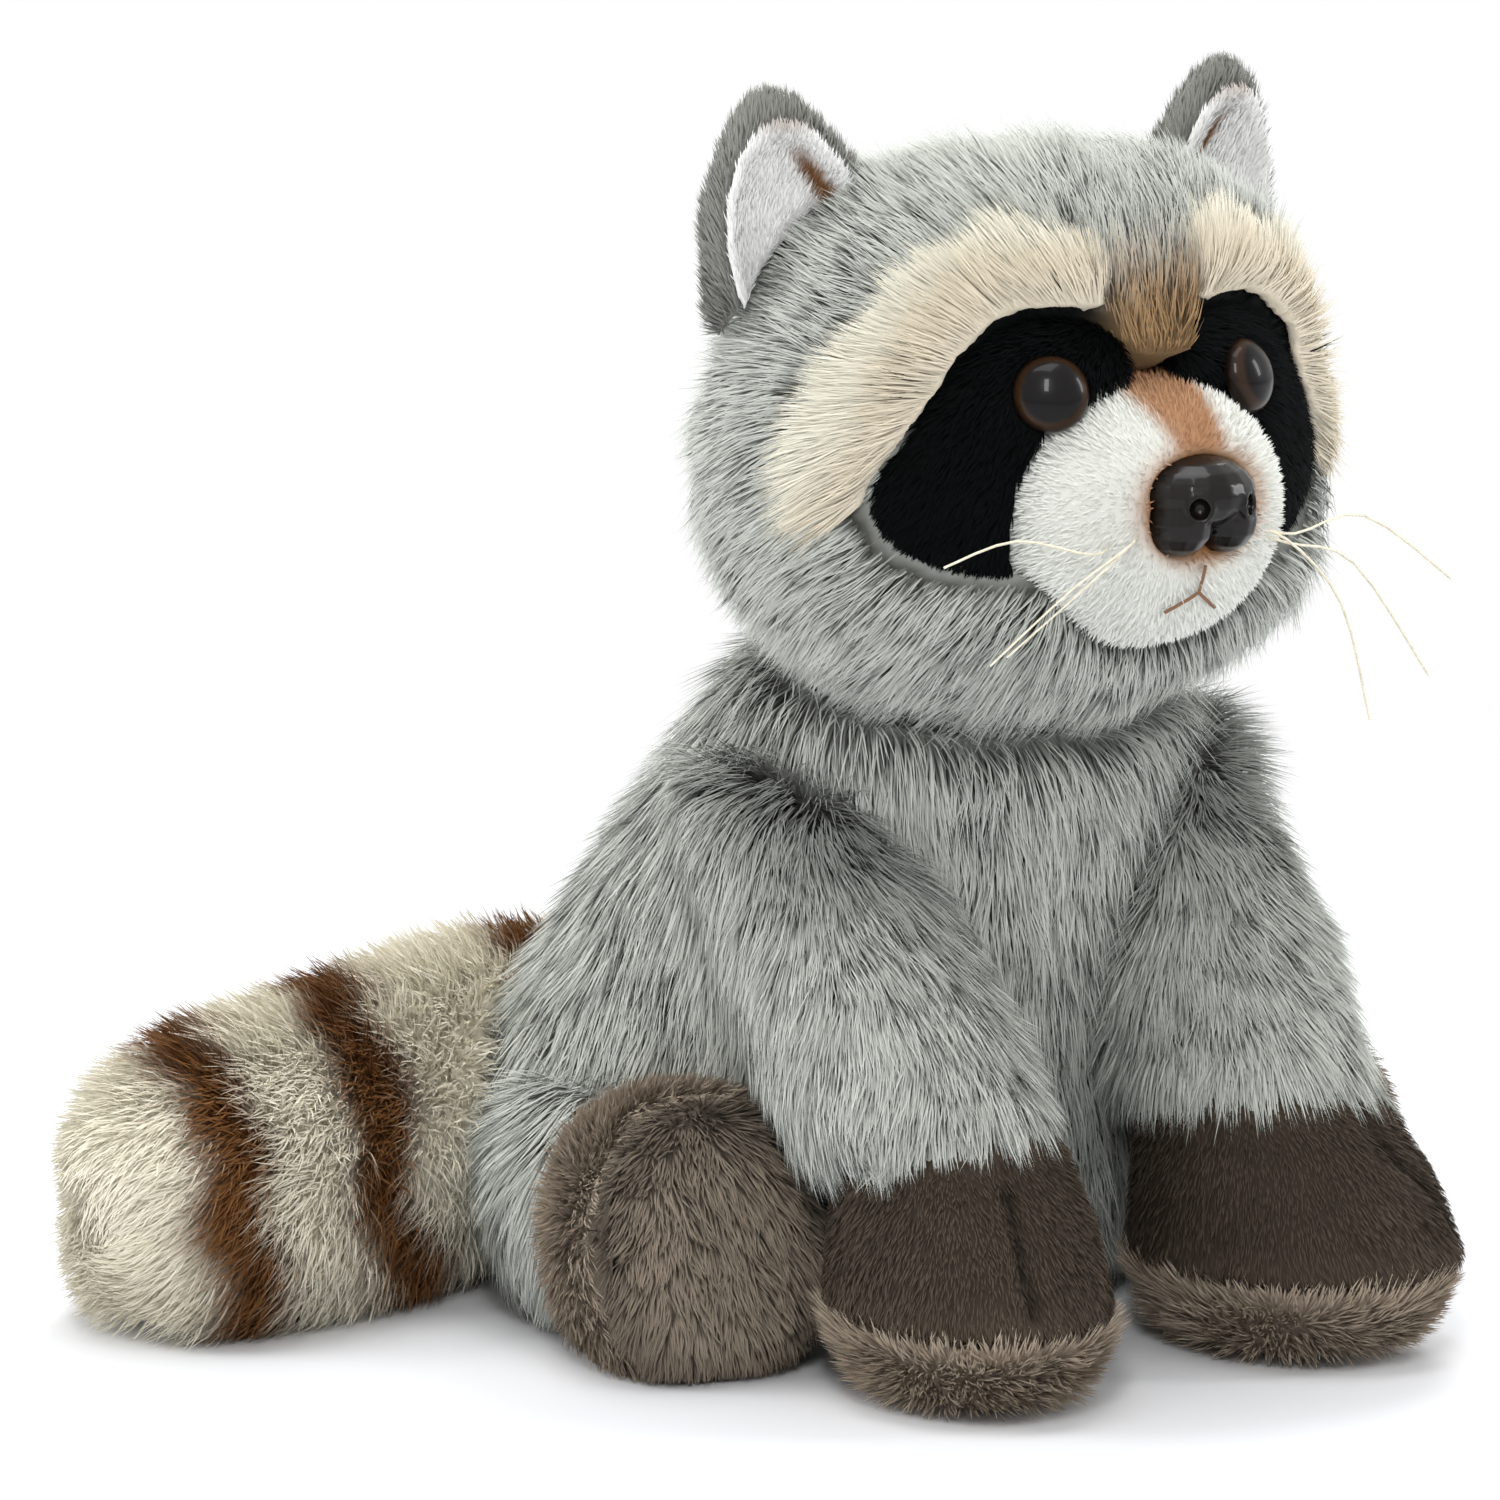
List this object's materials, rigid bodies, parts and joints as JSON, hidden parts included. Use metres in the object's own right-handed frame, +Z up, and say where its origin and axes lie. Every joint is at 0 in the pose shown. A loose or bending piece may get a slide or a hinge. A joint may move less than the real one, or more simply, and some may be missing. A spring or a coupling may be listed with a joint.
{
  "type": "plush raccoon",
  "caption": "Seated plush raccoon with a black mask, a glossy nose and eyes, straight front legs and a ringed tail laid round to its right.",
  "frame": {"origin": "centre of the flat base of the body, on the surface that the toy sits on", "axes": "+Z up, -Y the way the raccoon faces, +X its left side"},
  "size_m": [0.2485, 0.2151, 0.2354],
  "materials": {
    "grey_pile": "matte",
    "white_pile": "matte",
    "black_pile": "matte",
    "cream_pile": "matte",
    "dark_pile": "matte",
    "sole_pile": "matte",
    "black_plastic": "gloss",
    "white_plastic": "satin",
    "bristle": "satin",
    "thread": "matte"
  },
  "bodies": {
    "root": {"body": "grey_pile", "brow_left": "cream_pile", "brow_right": "cream_pile", "ear_back_left": "dark_pile", "ear_back_right": "dark_pile", "ear_lining_left": "white_pile", "ear_lining_right": "white_pile", "eye_left": "black_plastic", "eye_right": "black_plastic", "eye_washer_left": "white_plastic", "eye_washer_right": "white_plastic", "front_leg_left": "grey_pile", "front_leg_right": "grey_pile", "front_paw_left": "dark_pile", "front_paw_right": "dark_pile", "front_sole_left": "sole_pile", "front_sole_right": "sole_pile", "head": "grey_pile", "hind_foot_left": "grey_pile", "hind_foot_right": "grey_pile", "hind_leg_left": "grey_pile", "hind_leg_right": "grey_pile", "hind_sole_left": "sole_pile", "hind_sole_right": "sole_pile", "mask_left": "black_pile", "mask_right": "black_pile", "mouth_stitch": "thread", "muzzle": "white_pile", "nose": "black_plastic", "nose_washer": "white_plastic", "tail": "cream_pile", "whisker_left_1": "bristle", "whisker_left_2": "bristle", "whisker_left_3": "bristle", "whisker_right_1": "bristle", "whisker_right_2": "bristle", "whisker_right_3": "bristle"}
  },
  "joints": []
}
